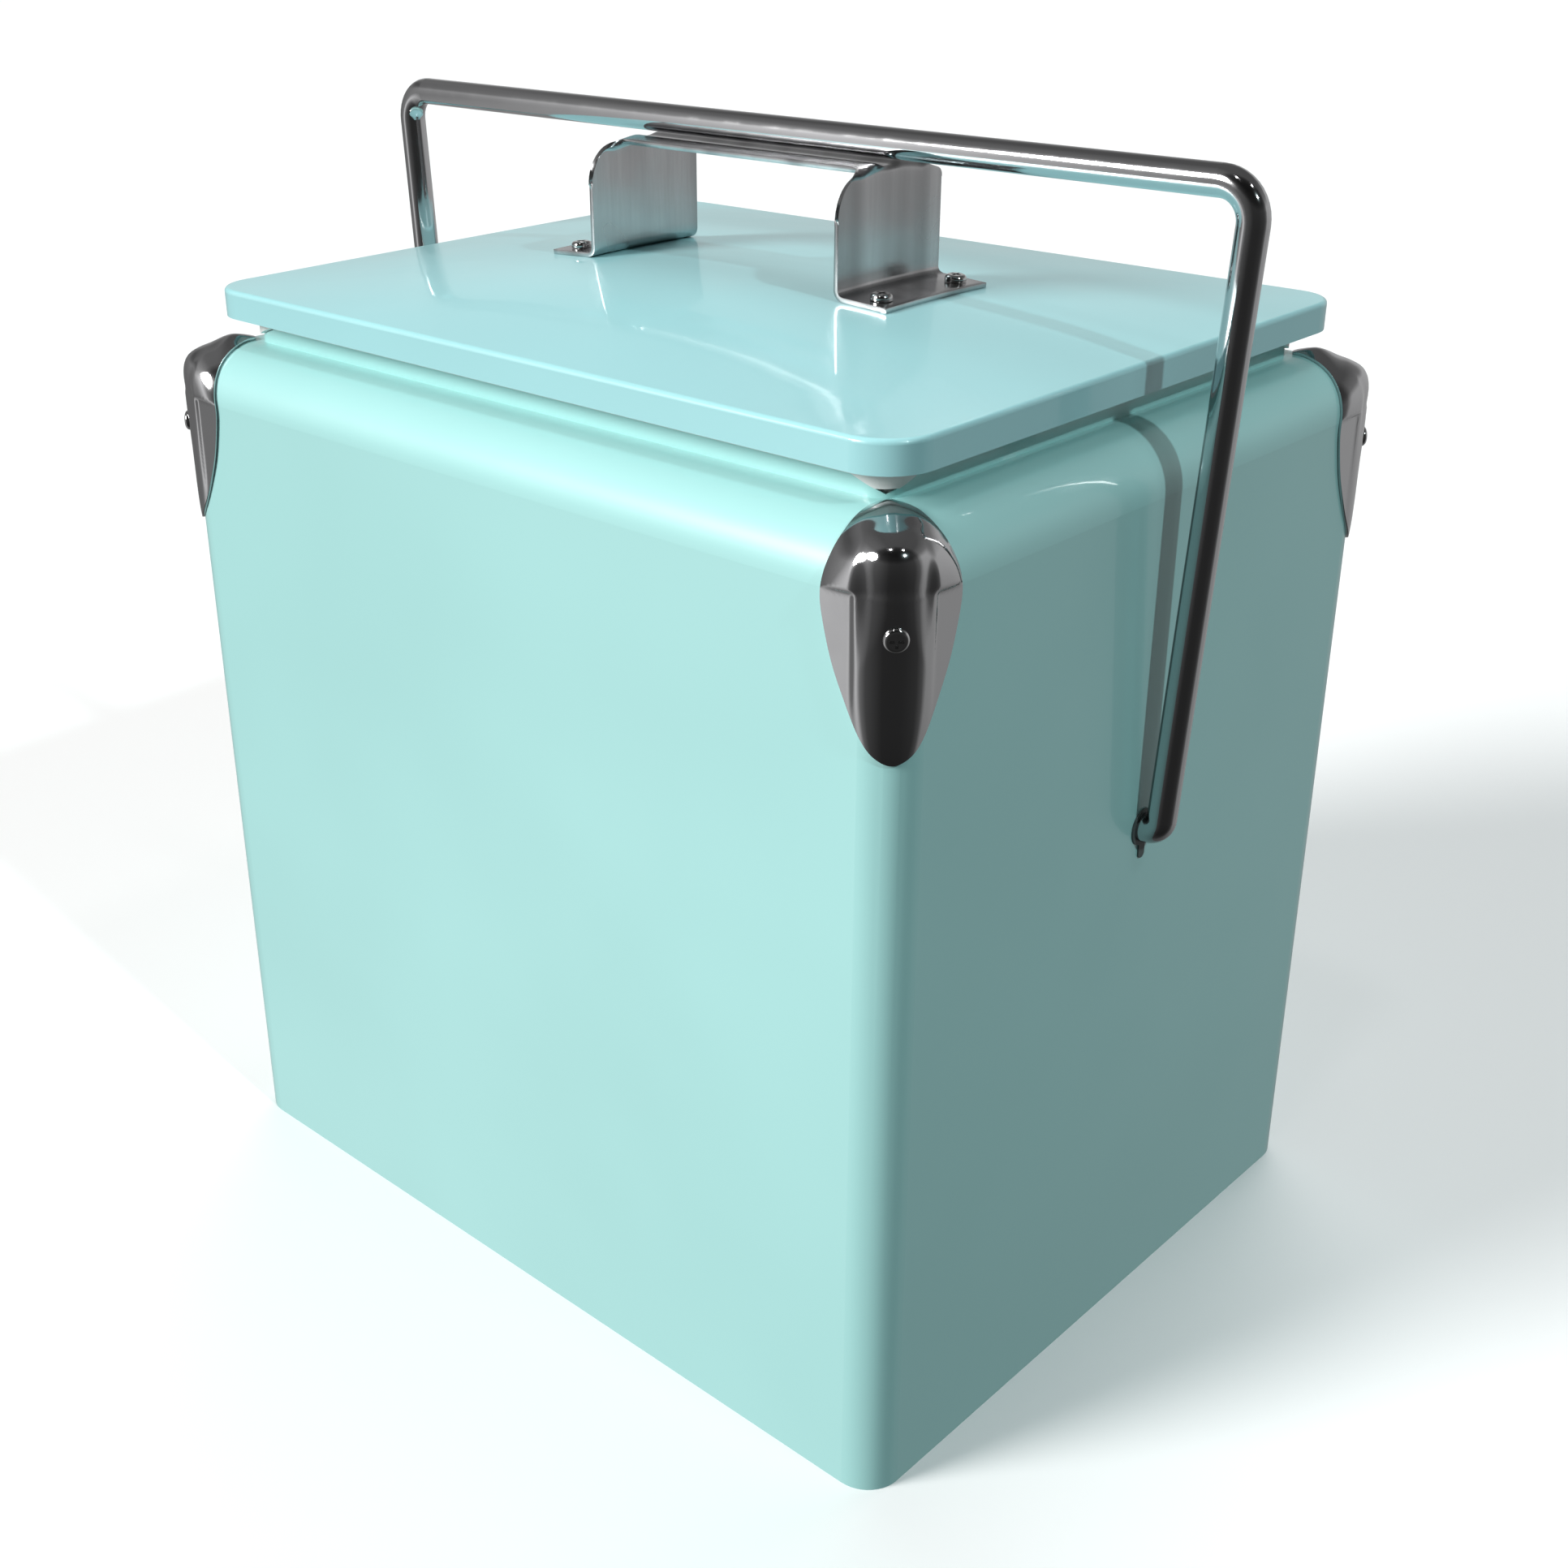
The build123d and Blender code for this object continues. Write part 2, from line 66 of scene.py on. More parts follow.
def make_camera():
    """Camera at the chest's front right corner, looking down at it."""
    azimuth, elevation, roll = (radians(angle) for angle in CAMERA_ANGLES)
    back = Vector((sin(azimuth) * cos(elevation), -cos(azimuth) * cos(elevation), sin(elevation)))
    level = Vector((cos(azimuth), sin(azimuth), 0))
    right = cos(roll) * level + sin(roll) * back.cross(level)
    up = back.cross(right)
    data = bpy.data.cameras.new("camera")
    data.lens = CAMERA_LENS
    data.sensor_width = CAMERA_SENSOR
    data.shift_x, data.shift_y = CAMERA_SHIFT
    data.clip_start, data.clip_end = CAMERA_CLIP
    camera = bpy.data.objects.new("camera", data)
    camera.matrix_world = Matrix((right, up, back)).transposed().to_4x4()
    camera.location = CAMERA_PLACE
    bpy.context.scene.collection.objects.link(camera)
    bpy.context.scene.camera = camera


# Light

WHITE = (1.0, 1.0, 1.0)
# Name, direction that it comes from, irradiance, width in degrees, colour, whether gloss sees it
LIGHTS = [
    ("front_window", (-0.45, -0.85, 0.44), 3.95, 22, (1.0, 1.0, 0.985), True),
    ("side_lamp", (1.0, -0.10, 0.80), 1.0, 2.5, (0.80, 0.98, 1.0), True),
    ("overhead", (-0.2, 0.45, 1.0), 1.0, 40, WHITE, False),
    ("back_fill", (-0.35, 0.9, 0.45), 0.5, 60, WHITE, False),
    ("lamp_left", (0.05, -0.40, 0.90), 0.12, 5, WHITE, True),
    ("lamp_right", (0.55, 0.05, 0.90), 0.12, 5, WHITE, True),
]

FILL_STRENGTH = 0.115        # of the plain white surroundings that light what isn't glossy
BACKDROP_LEVEL = 0.97        # what the camera sees past the floor
ROOM_LEVEL = 0.8
# What gloss sees: an axis, and (share, brightness) stops for how far a direction points along it
ROOM = [
    # up, from the floor past the walls to a dim ceiling
    (
        (0, 0, 1),
        [(-1, 0.25), (-0.4, 0.75), (0, 1.0), (0.25, 1.1), (0.42, 0.5), (0.7, 0.25), (1, 0.3)],
    ),
    # towards the front right, which is dark
    ((0.69, -0.72, 0), [(-1, 0.7), (-0.3, 0.55), (0.1, 0.5), (0.28, 0.16), (0.5, 0.07), (1, 0.05)]),
    # towards the front left, which is bright
    ((-0.72, -0.69, 0), [(-1, 1.1), (-0.4, 0.85), (0.3, 0.9), (1, 2.6)]),
    # towards the left end, which is dim
    ((-0.98, -0.17, 0), [(-1, 1), (0.74, 1), (0.86, 0.3), (1, 0.2)]),
]


def make_lights():
    """Broad window light on the front, a small lamp on the right and softer ones above."""
    for name, towards, irradiance, width, colour, seen_in_gloss in LIGHTS:
        data = bpy.data.lights.new(name, "SUN")
        data.energy = irradiance
        data.angle = radians(width)
        data.color = colour
        light = bpy.data.objects.new(name, data)
        light.rotation_mode = "QUATERNION"
        light.rotation_quaternion = Vector(towards).to_track_quat("Z", "Y")
        light.visible_glossy = seen_in_gloss
        bpy.context.scene.collection.objects.link(light)


def background(tree, level, strength=1.0):
    """Grey background of a level and strength; returns the node."""
    node = tree.nodes.new("ShaderNodeBackground")
    node.inputs["Color"].default_value = (level, level, level, 1)
    node.inputs["Strength"].default_value = strength
    return node


def share_along(tree, direction, axis):
    """How far a direction points along an axis, from -1 to 1; returns the socket."""
    product = tree.nodes.new("ShaderNodeVectorMath")
    product.operation = "DOT_PRODUCT"
    tree.links.new(direction, product.inputs[0])
    product.inputs[1].default_value = axis
    return product.outputs["Value"]


def ramp_of(tree, share, stops):
    """Share, from -1 to 1, read through (share, brightness) stops; returns the socket."""
    remap = tree.nodes.new("ShaderNodeMapRange")
    remap.inputs["From Min"].default_value = -1
    tree.links.new(share, remap.inputs["Value"])
    ramp = tree.nodes.new("ShaderNodeValToRGB")
    elements = ramp.color_ramp.elements
    elements.remove(elements[0])
    for index, (position, level) in enumerate(stops):
        place = (position + 1) / 2
        if index:
            element = elements.new(place)
        else:
            element = elements[0]
            element.position = place
        element.color = (level, level, level, 1)
    tree.links.new(remap.outputs["Result"], ramp.inputs["Fac"])
    return ramp.outputs["Color"]


def times(tree, first, second):
    """Product of two sockets; returns the socket."""
    node = tree.nodes.new("ShaderNodeMath")
    node.operation = "MULTIPLY"
    tree.links.new(first, node.inputs[0])
    tree.links.new(second, node.inputs[1])
    return node.outputs[0]


def choose(tree, ray, usual, special):
    """Special shader for one kind of ray and the usual one for the rest; returns the socket."""
    path = tree.nodes.new("ShaderNodeLightPath")
    mix = tree.nodes.new("ShaderNodeMixShader")
    tree.links.new(path.outputs[ray], mix.inputs["Fac"])
    tree.links.new(usual, mix.inputs[1])
    tree.links.new(special, mix.inputs[2])
    return mix.outputs[0]


def make_world():
    """Plain white surroundings, in whose place gloss sees a room and the camera a backdrop."""
    world = bpy.data.worlds.new("studio")
    bpy.context.scene.world = world
    world.use_nodes = True
    tree = world.node_tree
    tree.nodes.clear()
    direction = tree.nodes.new("ShaderNodeTexCoord").outputs["Generated"]
    height, depth, across, left_end = (
        ramp_of(tree, share_along(tree, direction, axis), stops) for axis, stops in ROOM
    )
    brightness = times(tree, times(tree, height, depth), times(tree, across, left_end))
    room = background(tree, ROOM_LEVEL)
    tree.links.new(brightness, room.inputs["Strength"])
    plain = background(tree, 1.0, FILL_STRENGTH)
    backdrop = background(tree, BACKDROP_LEVEL)
    lit = choose(tree, "Is Glossy Ray", plain.outputs[0], room.outputs[0])
    seen = choose(tree, "Is Camera Ray", lit, backdrop.outputs[0])
    output = tree.nodes.new("ShaderNodeOutputWorld")
    tree.links.new(seen, output.inputs["Surface"])


# Materials


def new_material(name, colour, metallic, roughness):
    """Material with one Principled shader; returns it and the shader's inputs."""
    material = bpy.data.materials.new(name)
    material.use_nodes = True
    inputs = material.node_tree.nodes["Principled BSDF"].inputs
    inputs["Base Color"].default_value = (*colour, 1)
    inputs["Metallic"].default_value = metallic
    inputs["Roughness"].default_value = roughness
    return material, inputs


def connect(material, value, socket):
    """Links a value to a socket of the material."""
    material.node_tree.links.new(value, socket)


def noise(material, scale, detail=3, stretch=(1, 1, 1)):
    """Noise in object space, at scale features per metre; returns its value socket."""
    nodes = material.node_tree.nodes
    coordinate = nodes.new("ShaderNodeTexCoord")
    mapping = nodes.new("ShaderNodeMapping")
    mapping.inputs["Scale"].default_value = stretch
    texture = nodes.new("ShaderNodeTexNoise")
    texture.inputs["Scale"].default_value = scale
    texture.inputs["Detail"].default_value = detail
    connect(material, coordinate.outputs["Object"], mapping.inputs["Vector"])
    connect(material, mapping.outputs["Vector"], texture.inputs["Vector"])
    return texture.outputs["Fac"]


def spread(material, value, low, high, from_low=0.3, from_high=0.7):
    """Value remapped from its own range to low and high; returns the socket."""
    remap = material.node_tree.nodes.new("ShaderNodeMapRange")
    limits = {"From Min": from_low, "From Max": from_high, "To Min": low, "To Max": high}
    for name, limit in limits.items():
        remap.inputs[name].default_value = limit
    connect(material, value, remap.inputs["Value"])
    return remap.outputs["Result"]


def blend_colours(material, factor, first, second):
    """Two colours, each a tuple or a socket, mixed by factor; returns the socket."""
    mix = material.node_tree.nodes.new("ShaderNodeMix")
    mix.data_type = "RGBA"
    connect(material, factor, mix.inputs[0])
    for socket, colour in zip((mix.inputs[6], mix.inputs[7]), (first, second)):
        if isinstance(colour, tuple):
            socket.default_value = (*colour, 1)
        else:
            connect(material, colour, socket)
    return mix.outputs[2]


def shaded(colour, share):
    """Colour darkened to a share of itself."""
    return tuple(value * share for value in colour)


def bump(material, value, height):
    """Bump of a height in metres; returns its normal socket."""
    node = material.node_tree.nodes.new("ShaderNodeBump")
    node.inputs["Distance"].default_value = height
    node.inputs["Strength"].default_value = 1
    connect(material, value, node.inputs["Height"])
    return node.outputs["Normal"]


def paint(name, colour):
    """Glossy enamel: cloudy tone, slightly uneven gloss and faint orange peel in its coat."""
    material, inputs = new_material(name, colour, metallic=0.0, roughness=0.32)
    cloud = spread(material, noise(material, scale=9, detail=2), low=0, high=1)
    tone = blend_colours(material, cloud, colour, shaded(colour, 0.95))
    gloss = spread(material, noise(material, scale=35), low=0.29, high=0.35)
    peel = bump(material, noise(material, scale=350, detail=1), height=0.000006)
    connect(material, tone, inputs["Base Color"])
    connect(material, gloss, inputs["Roughness"])
    connect(material, peel, inputs["Coat Normal"])
    inputs["Coat Weight"].default_value = 0.55
    inputs["Coat Roughness"].default_value = 0.05
    return material


def chrome(name, colour):
    """Polished plating with faint smudges and a slightly wavy surface."""
    material, inputs = new_material(name, colour, metallic=1.0, roughness=0.07)
    smudges = spread(material, noise(material, scale=110, detail=4), low=0.045, high=0.13)
    waves = bump(material, noise(material, scale=70, detail=2), height=0.00002)
    connect(material, smudges, inputs["Roughness"])
    connect(material, waves, inputs["Normal"])
    return material


def sheet_steel(name, colour, grain):
    """Bright rolled steel, with fine lines along its grain and darker bands along it that are
    painted reflection streaks.
    """
    material, inputs = new_material(name, colour, metallic=1.0, roughness=0.25)
    gloss = spread(material, noise(material, scale=45), low=0.16, high=0.28)
    lines = noise(material, scale=900, stretch=grain)
    line_share = spread(material, lines, low=0, high=1)
    tone = blend_colours(material, line_share, colour, shaded(colour, 0.92))
    # Darker bands along the grain: painted reflection streaks, standing in for the dark and bright
    # stripes that shiny steel reflects
    reflection_streaks = noise(material, scale=75, detail=1, stretch=grain)
    streak_share = spread(material, reflection_streaks, low=0, high=1, from_low=0.35, from_high=0.65)
    streaked = blend_colours(material, streak_share, tone, shaded(colour, 0.55))
    connect(material, streaked, inputs["Base Color"])
    connect(material, gloss, inputs["Roughness"])
    connect(material, bump(material, lines, height=0.000004), inputs["Normal"])
    return material


def plastic(name, colour, roughness, grain_scale, grain_height=0.00001):
    """Moulded plastic, rubber or satin paint with a fine grain."""
    material, inputs = new_material(name, colour, metallic=0.0, roughness=roughness)
    cloud = spread(material, noise(material, scale=14), low=0, high=1)
    tone = blend_colours(material, cloud, colour, shaded(colour, 0.93))
    gloss = spread(material, noise(material, scale=80), low=roughness * 0.8, high=roughness * 1.2)
    grain = bump(material, noise(material, scale=grain_scale, detail=2), grain_height)
    connect(material, tone, inputs["Base Color"])
    connect(material, gloss, inputs["Roughness"])
    connect(material, grain, inputs["Normal"])
    return material


def bead_foam(name, colour):
    """Expanded foam: fused beads a few millimetres across."""
    material, inputs = new_material(name, colour, metallic=0.0, roughness=0.85)
    nodes = material.node_tree.nodes
    coordinate = nodes.new("ShaderNodeTexCoord")
    beads = nodes.new("ShaderNodeTexVoronoi")
    beads.inputs["Scale"].default_value = 300
    connect(material, coordinate.outputs["Object"], beads.inputs["Vector"])
    off_centre = beads.outputs["Distance"]
    share = spread(material, off_centre, low=0, high=1, from_low=0.25, from_high=0.75)
    tone = blend_colours(material, share, colour, shaded(colour, 0.86))
    connect(material, tone, inputs["Base Color"])
    connect(material, bump(material, off_centre, height=-0.0004), inputs["Normal"])
    return material


MATERIALS = {
    "body_paint": paint("mint_enamel", (0.40, 0.725, 0.71)),
    # The lid's copy of the mint enamel is tinted bluer: a painted reflection of the sky on the
    # lid's top
    "lid_paint": paint("lid_enamel_painted_sky_reflection", (0.375, 0.70, 0.73)),
    "pan_paint": plastic("pan_enamel", (0.1878, 0.4020, 0.3712), roughness=0.45, grain_scale=500),
    "white_liner": plastic("white_liner", (0.82, 0.83, 0.82), roughness=0.28, grain_scale=260),
    "foam": bead_foam("bead_foam", (0.86, 0.85, 0.80)),
    "guard_chrome": chrome("guard_chrome", (0.56, 0.56, 0.57)),
    "bail_chrome": chrome("bail_chrome", (0.58, 0.58, 0.59)),
    "bracket_steel": sheet_steel("bracket_steel", (0.60, 0.60, 0.61), grain=(1, 1, 0.06)),
    "fastener_steel": chrome("fastener_steel", (0.62, 0.62, 0.62)),
    "plate_steel": sheet_steel("plate_steel", (0.42, 0.42, 0.43), grain=(0.1, 1, 1)),
    "bush_nylon": plastic("bush_nylon", (0.09, 0.11, 0.11), roughness=0.5, grain_scale=700),
    "gasket_rubber": plastic(
        "gasket_rubber", (0.62, 0.62, 0.60), roughness=0.75, grain_scale=500, grain_height=0.00003
    ),
}


def dress_cad_nodes():
    """Gives every CAD node its slot's material."""
    for part in frame["record"]["subparts"]:
        node = frame["nodes"][part["node"]]
        node.data.materials.clear()
        node.data.materials.append(MATERIALS[part["material_slot"]])


FLOOR_EDGE = 12        # half of the floor's side, in metres
FLOOR_COLOUR = (0.93, 0.93, 0.93)


def make_floor():
    """Plain pale floor, which throws no light back at the chest."""
    mesh = bpy.data.meshes.new("floor")
    corners = [(-FLOOR_EDGE, -FLOOR_EDGE, 0), (FLOOR_EDGE, -FLOOR_EDGE, 0),
               (FLOOR_EDGE, FLOOR_EDGE, 0), (-FLOOR_EDGE, FLOOR_EDGE, 0)]
    mesh.from_pydata(corners, [], [(0, 1, 2, 3)])
    material, _ = new_material("pale_floor", FLOOR_COLOUR, metallic=0.0, roughness=0.6)
    mesh.materials.append(material)
    floor = bpy.data.objects.new("floor", mesh)
    bpy.context.scene.collection.objects.link(floor)
    floor.visible_glossy = False
    floor.visible_diffuse = False


# Meshes

MM = 0.001
SEAT_GAP = 0.05        # under a piece that rests on painted sheet
BEVEL_ANGLE, BEVEL_SEGMENTS = 50, 2


def mesh_piece(name, points, faces, body, slot, replaced):
    """Smooth-shaded mesh piece from points in millimetres, riding on body."""
    mesh = bpy.data.meshes.new(name)
    mesh.from_pydata([tuple(float(c) * MM for c in point) for point in points], [], faces)
    mesh.validate()
    mesh.shade_smooth()
    mesh.materials.append(MATERIALS[slot])
    piece = bpy.data.objects.new(name, mesh)
    bpy.context.scene.collection.objects.link(piece)
    bm = bmesh.new()
    bm.from_mesh(mesh)
    bmesh.ops.recalc_face_normals(bm, faces=bm.faces)
    bm.to_mesh(mesh)
    bm.free()
    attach(piece, body)
    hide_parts(replaced)
    return piece


def bevel_edges(piece, width):
    """Rounds the sharp edges of a piece over a width in millimetres."""
    bevel = piece.modifiers.new("edges", "BEVEL")
    bevel.width = width * MM
    bevel.segments = BEVEL_SEGMENTS
    bevel.limit_method = "ANGLE"
    bevel.angle_limit = radians(BEVEL_ANGLE)


def smoothstep(value, low, high):
    """0 below low, 1 above high, and an S curve between."""
    share = np.clip((value - low) / (high - low), 0, 1)
    return share * share * (3 - 2 * share)


def smooth_max(first, second, width):
    """Greater of two distances, rounded over width."""
    near = np.clip(1 - np.abs(first - second) / width, 0, 1)
    return np.maximum(first, second) + near * near * width / 4


# Corner guards
#
# A point near a corner is (u, w, z): u across the corner, w out along its diagonal from where the
# two walls would meet, and z up. A place on a guard has two coordinates, u and v, which say where
# a ray leaves the guard's axis and how it points. The guard's skin is where that ray is as far
# outside the body as the guard is raised there.

HALF_W, HALF_D = 155.0, 122.5
EDGE_R, SHOULDER_R, LEDGE_Z = 12.0, 18.0, 302.5
BEND_Z = LEDGE_Z - SHOULDER_R        # the walls bend over from here, and the rays rise
GUARD_AXIS = -27.0        # w of the axis
GUARD_ARC_U, GUARD_ARC_V = 19.0, 22.0        # change of u and v for each radian of a ray
GUARD_REACH, GUARD_HALVINGS = 60.0, 40
GUARD_CENTRE = (0.0, 276.0)
GUARD_RINGS, GUARD_AROUND = 52, 176
GUARD_SHEET, GUARD_BEVEL = 0.9, 0.25

CREASE_V, CREASE_SOFT = 286.2, 0.9        # step from the flat cheeks up to the dome
RIB_SLOPE = (8.6, 10.6)        # u of the rib's sides
RIB_FADE = (264, 300)        # v where the rib turns into the dome
RIB_LIFT, DOME_STEP, DOME_RISE = 0.5, 0.6, 2.1
DOME_SLOPE = (-2, 12)        # v over which the dome rises, from the crease
RIM_POWER = 8        # how late the skin comes down to the rim
SHARP = 0.05
RIDGE_ROUND, RIDGE_FADE = 8, (303, 314)        # rounding where the two shoulders meet
EDGE_ROUND, EDGE_FADE = 6, (6, 11)        # and along the upright edge

# Half of the guard's outline on the body
GUARD_OUTLINE = [
    (0.0, -5.0, 241.3), (4.6, -6.0, 243.4), (8.0, -8.0, 248.2), (11.2, -11.2, 256.5),
    (14.3, -14.3, 266.5), (16.4, -16.4, 277.5), (16.9, -16.9, 284.5), (16.0, -16.9, 289.2),
    (13.9, -17.8, 294.0), (10.7, -20.0, 298.3), (7.0, -23.3, 301.2), (3.3, -26.2, 302.4),
    (0.0, -28.6, 302.5),
]


def body_distance(point, ridge, edge):
    """Distance to the body's outside; ridge and edge round where its faces meet."""
    u, w, z = point
    walls = (w + u) / sqrt(2), (w - u) / sqrt(2)
    above = np.maximum(z - BEND_Z, 0)
    shoulders = []
    for wall in walls:
        over = np.maximum(wall + SHOULDER_R, 0)
        inside = np.minimum(np.maximum(wall, z - LEDGE_Z) + SHOULDER_R, 0)
        shoulders.append(np.hypot(over, above) - SHOULDER_R + inside)
    upright = np.hypot(*(np.maximum(wall + EDGE_R, 0) for wall in walls)) - EDGE_R
    return smooth_max(smooth_max(*shoulders, ridge), upright, edge)


def guard_surface(u, v, lift, ridge, edge):
    """Points that lie lift outside the body on the rays of guard coordinates u and v."""
    turn, rise = u / GUARD_ARC_U, np.maximum(v - BEND_Z, 0) / GUARD_ARC_V

    def at(distance):
        return np.stack([
            np.sin(turn) * distance,
            GUARD_AXIS + np.cos(turn) * np.cos(rise) * distance,
            np.minimum(v, BEND_Z) + np.cos(turn) * np.sin(rise) * distance,
        ])

    near, far = np.zeros_like(u), np.full_like(u, GUARD_REACH)
    for _ in range(GUARD_HALVINGS):
        middle = (near + far) / 2
        outside = body_distance(at(middle), ridge, edge) > lift
        far = np.where(outside, middle, far)
        near = np.where(outside, near, middle)
    return np.moveaxis(at((near + far) / 2), 0, -1)


def guard_coordinates(u, w, z):
    """Guard coordinates of a point near the corner."""
    reach, rise = w - GUARD_AXIS, max(z - BEND_Z, 0)
    turn = np.arctan2(u, np.hypot(reach, rise))
    return turn * GUARD_ARC_U, min(z, BEND_Z) + np.arctan2(rise, reach) * GUARD_ARC_V


def closed_curve(points, count):
    """Periodic Catmull-Rom curve through points, as count points."""
    points = np.array(points, float)
    steps = np.arange(count) * len(points) / count
    index = steps.astype(int)
    t = (steps - index)[:, None]
    a, b, c, d = (points[(index + k) % len(points)] for k in (-1, 0, 1, 2))
    return 0.5 * (
        2 * b
        + (c - a) * t
        + (2 * a - 5 * b + 4 * c - d) * t ** 2
        + (3 * b - a - 3 * c + d) * t ** 3
    )


def guard_skins():
    """Outer and inner skins of a guard, as rings of points round its centre."""
    half = [guard_coordinates(*point) for point in GUARD_OUTLINE]
    loop = closed_curve(half + [(-u, v) for u, v in half[-2:0:-1]], GUARD_AROUND)
    centre = np.array(GUARD_CENTRE)
    to_edge = np.sin(np.linspace(0, pi / 2, GUARD_RINGS + 1))[:, None]
    u, v = np.moveaxis(centre + to_edge[..., None] * (loop - centre), -1, 0)
    rib = 1 - smoothstep(np.abs(u), *RIB_SLOPE)
    dome = smoothstep(v, CREASE_V - CREASE_SOFT, CREASE_V + CREASE_SOFT)
    dome = 1 - (1 - dome) * (1 - rib * smoothstep(v, *RIB_FADE))
    raised = 1 - (1 - rib) * (1 - dome)
    rim = 1 - to_edge ** RIM_POWER
    rise = DOME_STEP + DOME_RISE * smoothstep(v - CREASE_V, *DOME_SLOPE) * (1 - to_edge ** 2)
    lift = GUARD_SHEET + SEAT_GAP + rim * (RIB_LIFT * raised + dome * rise)
    ridge = SHARP + RIDGE_ROUND * dome * (1 - smoothstep(v, *RIDGE_FADE))
    edge = SHARP + EDGE_ROUND * dome * (1 - smoothstep(np.abs(u), *EDGE_FADE))
    outer = guard_surface(u, v, lift, ridge, edge)
    inner = guard_surface(u, v, np.maximum(lift - GUARD_SHEET, SEAT_GAP), ridge, edge)
    return outer, inner


def make_guard(name, side_x, side_y):
    """Pressed and plated guard: domed top, raised rib down the corner and flat cheeks."""
    outer, inner = guard_skins()
    rings = np.concatenate([outer[1:], inner[:0:-1]])
    u, w, z = np.concatenate([rings.reshape(-1, 3), outer[0, :1], inner[0, :1]]).T
    x = side_x * HALF_W + (side_x * w - side_y * u) / sqrt(2)
    y = side_y * HALF_D + (side_y * w + side_x * u) / sqrt(2)
    last = (len(rings) - 1) * GUARD_AROUND
    outer_pole, inner_pole = last + GUARD_AROUND, last + GUARD_AROUND + 1
    faces = []
    for row in range(0, last, GUARD_AROUND):
        above = row + GUARD_AROUND
        for k in range(GUARD_AROUND):
            after = (k + 1) % GUARD_AROUND
            faces.append((row + k, row + after, above + after, above + k))
    for k in range(GUARD_AROUND):
        after = (k + 1) % GUARD_AROUND
        faces.append((outer_pole, after, k))
        faces.append((inner_pole, last + k, last + after))
    points = np.stack([x, y, z], axis=1)
    piece = mesh_piece(name + "_pressing", points, faces, CHEST, "guard_chrome", name)
    bevel_edges(piece, GUARD_BEVEL)


# Lid bracket

LID_W, LID_D, LID_EDGE_Z, LID_CROWN = 290.0, 225.0, 320.8, 9.0
BRACKET_T, BRACKET_BEVEL = 1.5, 0.35
BRACKET_HALF_W = 24.4
BRACKET_TOP_Z = 366.0
BEND_R = 2.6
LEG_X, FOOT_END_X = 51.8, 71.0
ARCH_R, FRONT_R, BACK_R = 73.0, 12.0, 2.5
PLATE_HALF = 12.0
LIP_TURN, LIP_FADE = 0.12, 8.0        # share of the top bend that a leg keeps beyond the plate
GROOVE_R, GROOVE_DEPTH = 6.5, 1.2
GROOVE_SLOPE = (0.2, 1.5)        # of the groove's half width
FOOT_STEPS, BEND_STEPS, LEG_STEPS, TOP_BEND_STEPS, PLATE_STEPS = 9, 7, 15, 8, 15
SHOULDER_COLUMNS, PLATE_COLUMNS = 17, 27


def crown_height(x, y):
    """Height of the lid's crowned top."""
    return LID_EDGE_Z + LID_CROWN * (1 - (2 * x / LID_W) ** 2) * (1 - (2 * y / LID_D) ** 2)


def bracket_top(y):
    """Height of the bracket's outside across the lid, without its groove."""
    corner_r = FRONT_R if y < 0 else BACK_R
    centre = BRACKET_HALF_W - corner_r
    centre_z = BRACKET_TOP_Z - ARCH_R + sqrt((ARCH_R - corner_r) ** 2 - centre ** 2)
    touch = centre * ARCH_R / (ARCH_R - corner_r)
    if abs(y) < touch:
        return BRACKET_TOP_Z - ARCH_R + sqrt(ARCH_R ** 2 - y * y)
    return centre_z + sqrt(max(corner_r ** 2 - (abs(y) - centre) ** 2, 0))


def groove(y):
    """Depth of the pressed groove that the bail's bar rests over."""
    half = sqrt(GROOVE_R ** 2 - (GROOVE_R - GROOVE_DEPTH) ** 2)
    return GROOVE_DEPTH * float(1 - smoothstep(abs(y) / half, *GROOVE_SLOPE))


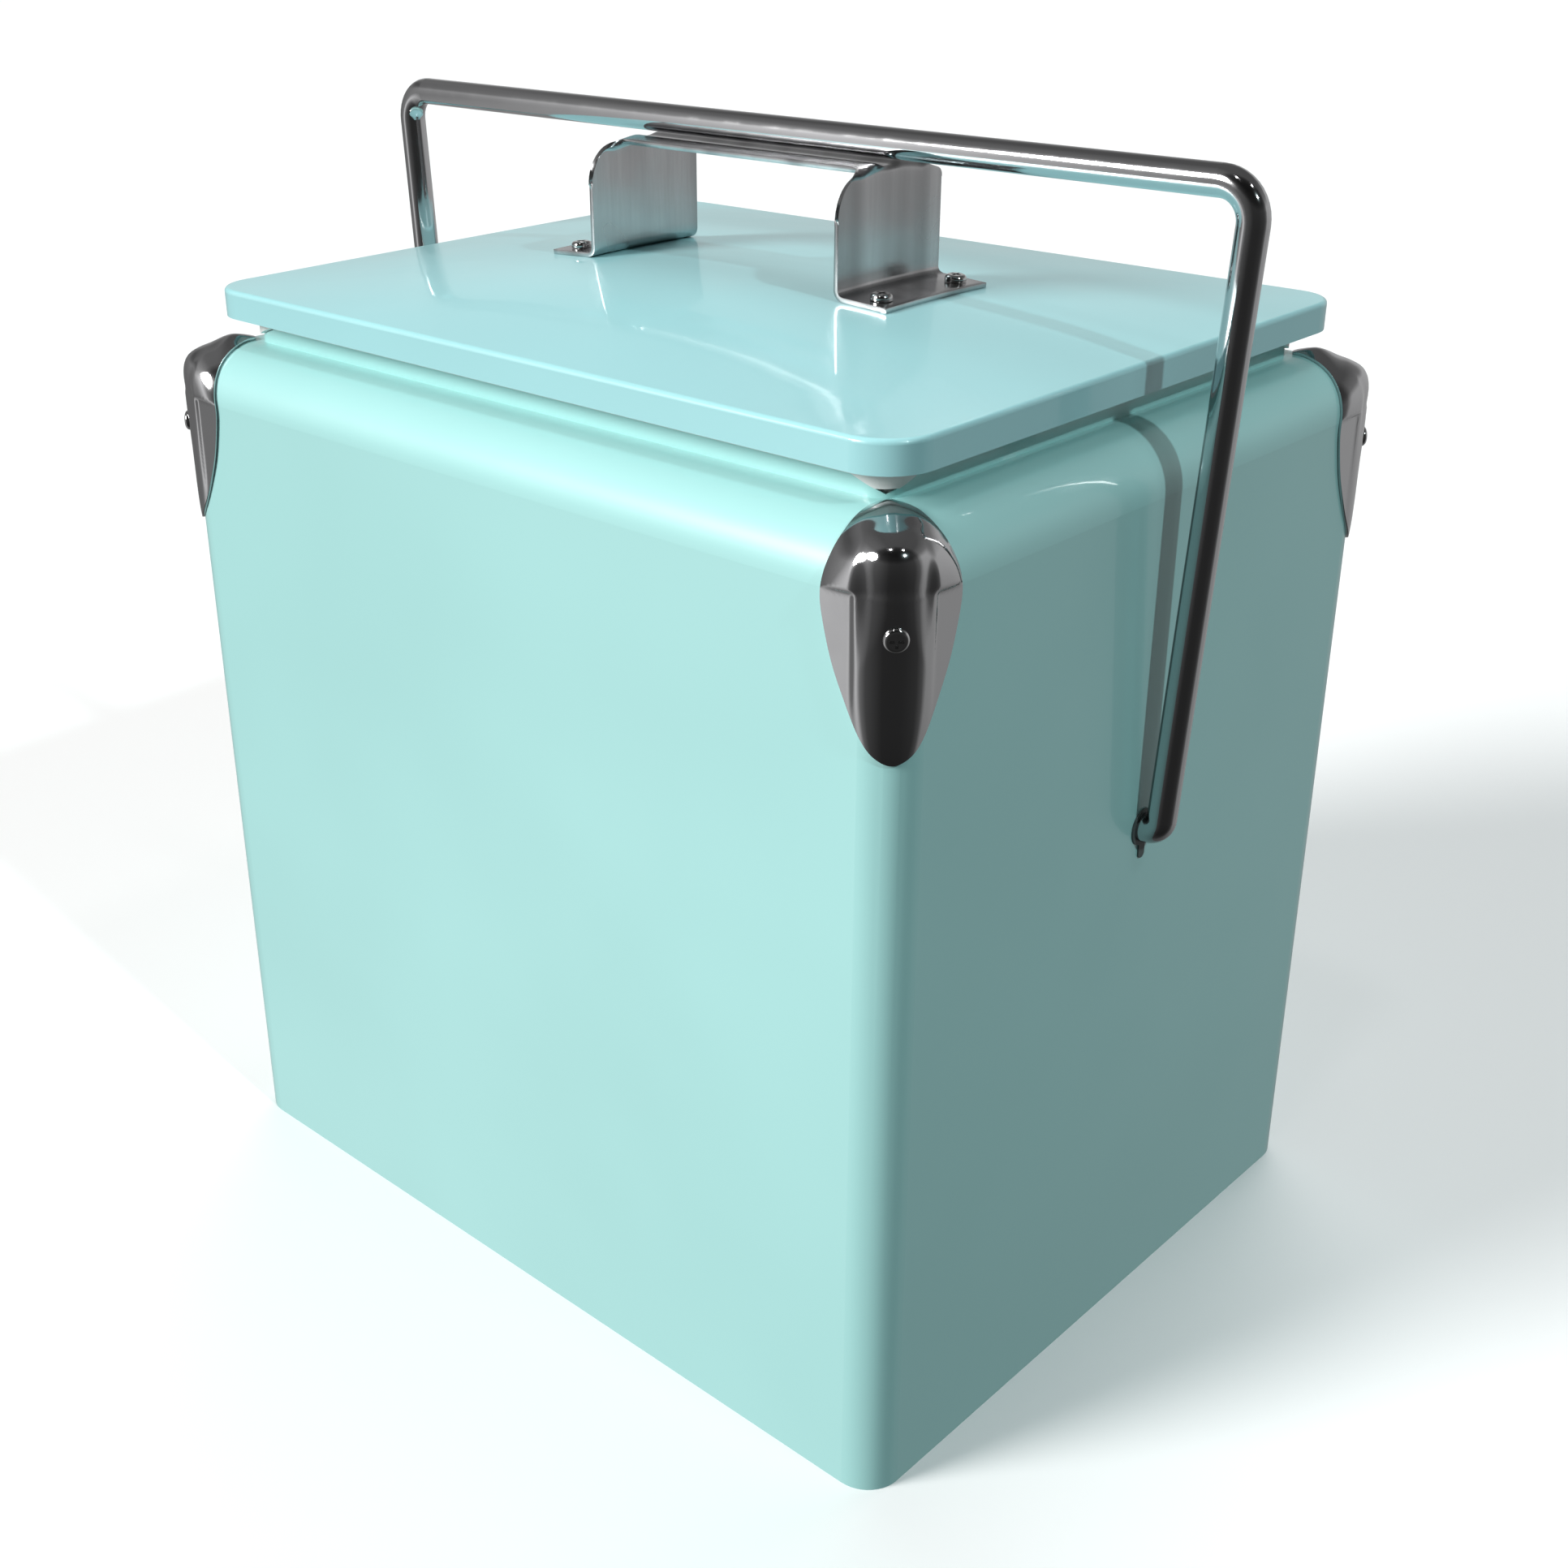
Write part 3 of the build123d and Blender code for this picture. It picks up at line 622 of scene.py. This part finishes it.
def bracket_column(y):
    """Middle line of the sheet at y, from the right foot's end up to the middle of the top."""
    seat = SEAT_GAP + BRACKET_T / 2
    foot_z = crown_height(LEG_X, y) + seat
    top = bracket_top(y) - BRACKET_T / 2
    dip = groove(y)
    past_plate = max(abs(y) - PLATE_HALF, 0)
    fade = float(1 - smoothstep(past_plate, 0, LIP_FADE))
    last_turn = pi / 2 * (LIP_TURN + (1 - LIP_TURN) * fade)
    leg_top = top - BEND_R * sin(last_turn)
    line = []
    for x in np.linspace(FOOT_END_X, LEG_X + BEND_R, FOOT_STEPS):
        line.append((x, crown_height(x, y) + seat))
    for turn in np.linspace(0, pi / 2, BEND_STEPS)[1:]:
        line.append((LEG_X + BEND_R * (1 - sin(turn)), foot_z + BEND_R * (1 - cos(turn))))
    for z in np.linspace(foot_z + BEND_R, leg_top, LEG_STEPS)[1:]:
        line.append((LEG_X, z))
    for turn in np.linspace(0, last_turn, TOP_BEND_STEPS)[1:]:
        drop = dip * float(smoothstep(turn, 0, pi / 2))
        line.append((LEG_X - BEND_R * (1 - cos(turn)), leg_top + BEND_R * sin(turn) - drop))
    if not past_plate:
        for x in np.linspace(LEG_X - BEND_R, 0, PLATE_STEPS)[1:]:
            line.append((x, top - dip))
    return line


def make_bracket():
    """Bent sheet: two feet, two legs with rounded shoulders and a grooved top plate."""
    spacing = np.sin(np.linspace(0, pi / 2, SHOULDER_COLUMNS))[1:]
    shoulder = PLATE_HALF + (BRACKET_HALF_W - PLATE_HALF) * spacing
    plate = np.linspace(-PLATE_HALF, PLATE_HALF, PLATE_COLUMNS)
    across = np.concatenate([-shoulder[::-1], plate, shoulder])
    lines = [bracket_column(float(y)) for y in across]
    points, faces, index = [], [], {}
    for side in (1, -1):
        for column, line in enumerate(lines):
            for row, (x, z) in enumerate(line):
                if side == -1 and x == 0:
                    index[side, column, row] = index[1, column, row]
                    continue
                index[side, column, row] = len(points)
                points.append((side * x, across[column], z))
        for column in range(len(lines) - 1):
            for row in range(min(len(lines[column]), len(lines[column + 1])) - 1):
                corners = (column, row), (column + 1, row), (column + 1, row + 1), (column, row + 1)
                faces.append([index[(side, *corner)] for corner in corners])
    piece = mesh_piece("lid_bracket_pressing", points, faces, LID, "bracket_steel", "lid_bracket")
    solid = piece.modifiers.new("sheet", "SOLIDIFY")
    solid.thickness = BRACKET_T * MM
    solid.offset = 0
    bevel_edges(piece, BRACKET_BEVEL)


make_camera()
make_world()
make_lights()
make_floor()
dress_cad_nodes()
for corner, (side_x, side_y) in CORNERS.items():
    make_guard(f"corner_guard_{corner}", side_x, side_y)
make_bracket()
bpy.context.scene.view_settings.view_transform = "Standard"
